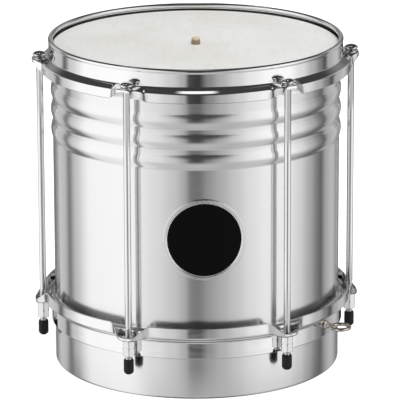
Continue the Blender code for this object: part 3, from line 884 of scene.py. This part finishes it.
def make_nuts(finish):
    """Long hexagon nuts with rounded corners, turned chamfers and a shallow groove half way up."""
    segments = 72
    flat = NUT_ACROSS_FLATS / 2
    corner = flat / math.cos(math.pi / 6)
    middle = (NUT_TOP + NUT_BOTTOM) / 2
    between = NUT_TOP - NUT_BOTTOM - 2 * NUT_CHAMFER
    shares = (0.0, 0.25, 0.5, 0.75, 1.0)
    heights = [NUT_BOTTOM + share * NUT_CHAMFER for share in shares]
    heights += [NUT_BOTTOM + NUT_CHAMFER + between * step / 16 for step in range(1, 16)]
    heights += [NUT_TOP - share * NUT_CHAMFER for share in reversed(shares)]
    rows = []
    for index in range(segments):
        angle = 2 * math.pi * index / segments
        from_face = (angle + math.pi / 6) % (math.pi / 3) - math.pi / 6
        hexagon = min(flat / math.cos(from_face), corner - NUT_CORNER_CUT)
        row = [polar(ROD_BORE, angle, NUT_TOP), polar(ROD_BORE, angle, NUT_BOTTOM)]
        for z in heights:
            from_end = min(z - NUT_BOTTOM, NUT_TOP - z)
            chamfer = flat - 0.0001 + from_end * NUT_CHAMFER_SLOPE
            groove = corner - NUT_GROOVE_DEPTH * math.exp(-(((z - middle) / NUT_GROOVE_SPREAD) ** 2))
            row.append(polar(min(hexagon, chamfer, groove), angle, z))
        rows.append(row)
    nut = woven("nut", rows, finish, sharp=24.0)
    stand_on_rod_circle(nut, "tuning_nut")


def make_caps(finish):
    """Soft caps with a lip, a small shoulder and a round end."""
    hole = ROD_RADIUS + SEAT_GAP
    profile = [Vector((0.0, CAP_BOTTOM + CAP_FLOOR)), Vector((hole, CAP_BOTTOM + CAP_FLOOR))]
    profile += rounded(
        [
            (hole, CAP_BOTTOM + CAP_FLOOR + 0.001, 0.0),
            (hole, CAP_TOP, 0.0001),
            (hole + 0.0005, CAP_TOP, 0.0002),
            (CAP_RADIUS, CAP_TOP - 0.0014, 0.0006),
            (CAP_RADIUS, CAP_BOTTOM + CAP_END, 0.0),
        ]
    )
    for step in range(1, 9):
        angle = math.radians(10 * step)
        drop = CAP_END * (1 - math.sin(angle))
        profile.append(Vector((CAP_RADIUS * math.cos(angle), CAP_BOTTOM + drop)))
    profile.append(Vector((0.0, CAP_BOTTOM)))
    cap = turned("cap", profile, finish, 40, closed=False)
    stand_on_rod_circle(cap, "rod_cap")


def make_badge(field_finish, rim_finish):
    """A round plate with a raised rim, wrapped round the shell."""
    field = BADGE_RADIUS - BADGE_RIM
    rim_top = BADGE_PLATE + BADGE_RIM_RISE
    profile = [(0.0, BADGE_PLATE)]
    profile += [(field * share, BADGE_PLATE) for share in (0.2, 0.4, 0.6, 0.8, 0.97)]
    profile += rounded(
        [
            (field * 0.985, BADGE_PLATE, 0.0),
            (field, BADGE_PLATE - 0.0001, 0.0002),
            (field + 0.0005, rim_top, 0.0003),
            (BADGE_RADIUS, rim_top, 0.0007),
            (BADGE_RADIUS, 0.0, 0.0),
        ],
        4,
    )
    profile += [(field, 0.0), (0.0, 0.0)]
    badge = turned("round_badge", profile, field_finish, 128, closed=False, sharp=60.0)
    badge.data.materials.append(rim_finish)
    for face in badge.data.polygons:
        face.material_index = 1 if math.hypot(face.center.x, face.center.y) > field * 0.99 else 0
    front = -math.pi / 2 + BADGE_TURN
    back = SHELL_RADIUS + SEAT_GAP
    for vertex in badge.data.vertices:
        across, up, out = vertex.co
        vertex.co = polar(back + out, front + across / back, BADGE_HEIGHT + up)
    badge.data.update()
    return stand_for(badge, "badge")


def eye_place(distance):
    """The eye bolt's axis, pointing outward, at a distance from the drum's."""
    outward = Matrix.Rotation(EYE_ANGLE, 4, "Z") @ Matrix.Rotation(math.pi / 2, 4, "Y")
    return Matrix.Translation(polar(distance, EYE_ANGLE, EYE_HEIGHT)) @ outward


def make_eye_bolt(finish):
    """A ring whose wire runs smoothly into a shank with a collar."""
    collar = BAND_RADIUS + SEAT_GAP
    shank_end = EYE_REACH - EYE_RING_RADIUS + 0.0005
    profile = [
        (0.0, shank_end),
        (EYE_WIRE_RADIUS, shank_end),
        (EYE_SHANK_RADIUS, collar + EYE_COLLAR_LENGTH),
        (EYE_SHANK_RADIUS * 1.25, collar + EYE_COLLAR_LENGTH * 0.6),
        (EYE_COLLAR_RADIUS, collar + EYE_COLLAR_LENGTH * 0.25),
        (EYE_COLLAR_RADIUS, collar),
        (EYE_SHANK_RADIUS, collar),
        (EYE_SHANK_RADIUS, EYE_SHANK_INNER_END),
        (0.0, EYE_SHANK_INNER_END),
    ]
    bolt = turned("nickel_eye_bolt", profile, finish, 40, closed=False)
    bolt.data.transform(eye_place(0.0))
    centre = polar(EYE_REACH, EYE_ANGLE, EYE_HEIGHT)
    segments = 72
    rows = []
    for index in range(segments):
        angle = 2 * math.pi * index / segments
        ring = arc((EYE_RING_RADIUS, 0.0), EYE_WIRE_RADIUS, 0, 337.5, 15)
        rows.append([centre + polar(x, angle, z) for x, z in ring])
    eye = woven("eye", rows, finish)
    join = bolt.modifiers.new("Join", "BOOLEAN")
    join.operation = "UNION"
    join.object = eye
    join.solver = "EXACT"
    fine = bolt.modifiers.new("Fine", "REMESH")
    fine.mode = "VOXEL"
    fine.voxel_size = 0.00022
    soft = bolt.modifiers.new("Soft", "SMOOTH")
    soft.iterations = 6
    soft.factor = 0.5
    settle(bolt, 180.0)
    bpy.data.objects.remove(eye, do_unlink=True)
    return stand_for(bolt, "eye_bolt")


def pleat(radius, angle):
    """Small folds that run out from the tied middle of the skin."""
    fade = math.exp(-(radius - SKIN_HOLE) / PLEAT_REACH)
    drift = noise.noise(Vector((math.cos(angle), math.sin(angle), radius * 60.0))) * 1.5
    return PLEAT_RISE * fade * math.cos(PLEAT_COUNT * angle + drift)


def dish(radius):
    """Height of the skin's upper face, which the stick pulls down in the middle."""
    share = min(1.0, (radius - SKIN_HOLE) / (DISH_RADIUS - SKIN_HOLE))
    return HEAD_TOP - DISH_DEPTH * (1.0 - share) ** 2.2


def make_head(finish):
    """The playing skin in two pieces: its middle dished down towards the stick, and its collar over
    the shell's edge.
    """
    radii = [SKIN_HOLE + (DISH_RADIUS - SKIN_HOLE) * (step / 30) ** 1.6 for step in range(31)]
    segments = 96
    rows = []
    for index in range(segments):
        angle = 2 * math.pi * index / segments
        upper = [polar(r, angle, dish(r) + pleat(r, angle)) for r in radii]
        lower = [point - Vector((0.0, 0.0, SKIN)) for point in reversed(upper)]
        rows.append(upper + lower)
    middle = woven("head_middle", rows, finish, sharp=60.0)
    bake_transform(middle)
    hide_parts("head_skin")

    fold = EDGE_ROLL + SEAT_GAP + SKIN
    inward = SHELL_RADIUS - EDGE_ROLL
    path = [Vector((DISH_RADIUS + (inward - DISH_RADIUS) * step / 6, HEAD_TOP)) for step in range(6)]
    path += arc((inward, SHELL_HEIGHT - EDGE_ROLL), fold, 90, 0, 10)
    bottom = HEAD_TOP - SKIN_REACH
    start = SHELL_HEIGHT - EDGE_ROLL
    path += [Vector((COLLAR_RADIUS, start + (bottom - start) * step / 6)) for step in range(1, 7)]
    section = path + offset(path, -SKIN)[::-1]
    outer = turned("head_outer", section, finish, sharp=60.0)
    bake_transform(outer)
    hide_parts("head_skin")


def make_tuck(finish):
    """The skin's hem, wrapped round the flesh hoop."""
    hem = rounded(
        [
            (TUCK_INNER + SKIN + 2 * SEAT_GAP, TUCK_TOP, 0.0),
            (TUCK_OUTER, TUCK_TOP, 0.0012),
            (TUCK_OUTER, TUCK_BOTTOM, 0.0012),
            (TUCK_INNER, TUCK_BOTTOM, 0.0009),
            (TUCK_INNER, TUCK_TOP, 0.0),
        ]
    )
    tuck = turned("wrapped_hem", hem + offset(hem, -SKIN)[::-1], finish)
    return stand_for(tuck, "skin_tuck")


def make_stick(finish):
    """Bamboo with two knots, each a double ridge round the stick."""
    end = STICK_TOP - STICK_LENGTH
    profile = [(0.0, STICK_TOP), (STICK_RADIUS * 0.7, STICK_TOP), (STICK_RADIUS, STICK_TOP - 0.0007)]
    for knot in STICK_KNOTS:
        level = STICK_TOP - knot
        for shift, rise in STICK_KNOT_SHAPE:
            profile.append((STICK_RADIUS + STICK_KNOT_RISE * rise, level + shift))
    profile += [(STICK_RADIUS, end + 0.0008), (STICK_RADIUS * 0.7, end), (0.0, end)]
    stick = turned("bamboo_stick", profile, finish, 32, closed=False)
    return stand_for(stick, "friction_stick")


def make_tie(finish):
    """The tip of skin over the stick's end, gathered into small creases."""
    inner = TIE_RADIUS - SKIN
    segments = 64
    rows = []
    for index in range(segments):
        angle = 2 * math.pi * index / segments
        lumps = noise.noise(Vector((2.2 * math.cos(angle), 2.2 * math.sin(angle), 3.0)))
        crease = 0.5 + 0.5 * math.cos(TIE_CREASES * angle + 2.0 * lumps)
        rim = TIE_RADIUS + TIE_LIP - TIE_CREASE_DEPTH * crease
        row = [Vector((0.0, 0.0, TIE_CROWN - 0.0005))]
        for share, drop in ((0.25, 0.0003), (0.5, 0.0), (0.75, 0.0002), (0.92, 0.0006), (1.0, 0.0013)):
            dent = 0.0004 * crease * share * (1.0 + lumps)
            row.append(polar(rim * share, angle, TIE_CROWN - drop - dent))
        row.append(polar(rim, angle, TIE_CROWN - 0.0020))
        row.append(polar(TIE_RADIUS, angle, BINDING_TOP + 0.0001))
        row.append(polar(TIE_RADIUS, angle, TIE_HEM))
        row.append(polar(inner, angle, TIE_HEM))
        row.append(polar(inner, angle, TIE_CROWN - SKIN - 0.0012))
        row.append(Vector((0.0, 0.0, TIE_CROWN - SKIN - 0.0009)))
        rows.append(row)
    tie = woven("gathered_tip", rows, finish, loop_points=False, sharp=80.0)
    return stand_for(tie, "skin_tie")


def make_binding(finish):
    """Thread wound tightly round the gathered skin."""
    per_wrap = 8
    steps = int((BINDING_TOP - BINDING_BOTTOM) / WRAP_PITCH * per_wrap)
    segments = 56
    rows = []
    for index in range(segments):
        angle = 2 * math.pi * index / segments
        row = []
        for step in range(steps + 1):
            z = BINDING_BOTTOM + (BINDING_TOP - BINDING_BOTTOM) * step / steps
            across = (z / WRAP_PITCH + index / segments) % 1.0 * 2 - 1
            bulge = math.sqrt(max(0.0, 1 - 0.96 * across * across))
            edge = min(1.0, min(step, steps - step) / 4 + 0.3)
            row.append(polar(BINDING_INNER + WRAP_RISE * bulge * edge, angle, z))
        row.append(polar(BINDING_INNER, angle, BINDING_TOP))
        row.append(polar(BINDING_INNER, angle, BINDING_BOTTOM))
        rows.append(row)
    binding = woven("thread_wraps", rows, finish, sharp=80.0)
    return stand_for(binding, "thread_binding")


def dress(node, finish):
    """Gives a CAD node that stays in view its material."""
    for slot in frame["nodes"][node].material_slots:
        slot.material = finish


# Studio


def ramp(nodes, stops, place):
    """A soft run of brightness round the drum, from stops of (degrees, brightness)."""
    made = nodes.node("ShaderNodeValToRGB")
    made.color_ramp.interpolation = "EASE"
    elements = made.color_ramp.elements
    elements.remove(elements[-1])
    for count, (where, light) in enumerate(stops):
        stop = elements[0] if count == 0 else elements.new(where / 360 + 0.5)
        stop.position = where / 360 + 0.5
        stop.color = (light, light, light, 1.0)
    nodes.link(place, made.inputs[0])
    return made.outputs["Color"]


def make_world():
    """Soft panels all round, over a lit floor and under a dim ceiling with two lamps."""
    world = bpy.data.worlds.new("studio")
    bpy.context.scene.world = world
    world.use_nodes = True
    nodes = Nodes(world.node_tree)
    background = world.node_tree.nodes["Background"]
    background.inputs["Strength"].default_value = STUDIO_STRENGTH

    direction = nodes.node("ShaderNodeTexCoord").outputs["Generated"]
    axes = nodes.node("ShaderNodeSeparateXYZ")
    nodes.link(direction, axes.inputs[0])
    right, back, up = axes.outputs
    front = nodes.math("MULTIPLY", back, -1.0)
    turn = nodes.math("DIVIDE", nodes.math("ARCTAN2", right, front), 2 * math.pi)
    place = nodes.math("FRACT", nodes.math("ADD", turn, 0.5 + CAMERA_AZIMUTH / 360))

    above_floor = nodes.ranged(up, -0.40, -0.28, smooth=True)
    light = nodes.mixed(
        above_floor, ramp(nodes, FLOOR_GLOW, place), ramp(nodes, STUDIO_PANELS, place)
    )
    in_front = nodes.math("POWER", nodes.math("MAXIMUM", front, 0.0), 4.0)
    behind = nodes.math("MULTIPLY", nodes.math("MAXIMUM", back, 0.0), 0.35)
    lowered = nodes.math("ADD", nodes.math("MULTIPLY", in_front, 0.6), behind)
    height = nodes.math("ADD", up, lowered)
    ceiling = (CEILING_GLOW, CEILING_GLOW, CEILING_GLOW)
    light = nodes.mixed(nodes.ranged(height, 0.62, 0.80, smooth=True), light, ceiling)
    under_drum = nodes.ranged(up, -0.86, -0.95, smooth=True)
    light = nodes.mixed(under_drum, light, ceiling)
    for towards, spread in CEILING_LIGHTS:
        aim = nodes.node("ShaderNodeVectorMath", operation="DISTANCE")
        aim.inputs[1].default_value = towards.normalized()
        nodes.link(direction, aim.inputs[0])
        glow = nodes.ranged(aim.outputs["Value"], spread * 1.3, spread * 0.7, smooth=True)
        light = nodes.mixed(1.0, light, glow, "ADD")
    nodes.link(light, background.inputs["Color"])


def make_floor():
    """A large pale floor that the bright metal doesn't mirror."""
    mesh = bpy.data.meshes.new("floor")
    shape = bmesh.new()
    bmesh.ops.create_circle(shape, cap_ends=True, segments=96, radius=40.0)
    shape.to_mesh(mesh)
    shape.free()
    made = Finish("pale floor", (0.9, 0.9, 0.9), 0.8)
    made.shader.inputs["Emission Color"].default_value = (1.0, 1.0, 1.0, 1.0)
    made.shader.inputs["Emission Strength"].default_value = 0.75
    floor = piece_of("floor", mesh, made.material)
    floor.location.z = -0.0002
    floor.visible_glossy = False


def make_lights():
    """Broad soft lights, for the skin, the rubber and the floor."""
    for name, where, size, power in (
        ("ceiling_softbox", Vector((0.5, -0.3, 2.4)), 1.8, 34.0),
        ("front_softbox", Vector((1.2, -2.0, 1.6)), 1.4, 14.0),
    ):
        lamp = bpy.data.lights.new(name, "AREA")
        lamp.shape = "DISK"
        lamp.size = size
        lamp.energy = power
        light = bpy.data.objects.new(name, lamp)
        light.location = where
        light.rotation_mode = "QUATERNION"
        light.rotation_quaternion = (Vector((0.0, 0.0, 0.15)) - where).to_track_quat("-Z", "Y")
        light.visible_glossy = False
        bpy.context.scene.collection.objects.link(light)


def make_camera():
    """A long lens from in front and above, aimed a little beside the drum's axis."""
    azimuth = math.radians(CAMERA_AZIMUTH)
    view_azimuth = math.radians(CAMERA_AZIMUTH + CAMERA_TURN)
    pitch = math.radians(CAMERA_PITCH)
    camera = bpy.data.objects.new("camera", bpy.data.cameras.new("camera"))
    camera.data.lens = CAMERA_LENS
    camera.data.sensor_width = 36.0
    camera.location = (
        -math.sin(azimuth) * CAMERA_DISTANCE,
        -math.cos(azimuth) * CAMERA_DISTANCE,
        CAMERA_HEIGHT,
    )
    forward = Vector(
        (
            math.sin(view_azimuth) * math.cos(pitch),
            math.cos(view_azimuth) * math.cos(pitch),
            -math.sin(pitch),
        )
    )
    roll = Quaternion((0.0, 0.0, 1.0), math.radians(CAMERA_ROLL))
    camera.rotation_mode = "QUATERNION"
    camera.rotation_quaternion = forward.to_track_quat("-Z", "Y") @ roll
    bpy.context.scene.collection.objects.link(camera)
    bpy.context.scene.camera = camera


make_camera()
make_world()
make_floor()
make_lights()
bpy.context.scene.view_settings.view_transform = "Standard"

aluminium = brushed_aluminium()
plating = chrome()
nickel = nickel_plate()
steel = bare_steel()
skin = goat_skin()
make_shell(aluminium)
make_counterhoop(plating, crevice_shade_steel())
make_lower_ring(plating)
make_rods(rod_plate())
make_nuts(nut_plate())
make_caps(black_rubber())
make_badge(badge_field(), badge_rim())
make_eye_bolt(nickel)
make_head(skin)
make_tuck(skin)
make_stick(bamboo())
make_tie(tied_skin())
make_binding(waxed_thread())
dress("flesh_hoop", steel)
dress("eye_bolt_nut", nickel)
dress("eye_bolt_washer", nickel)
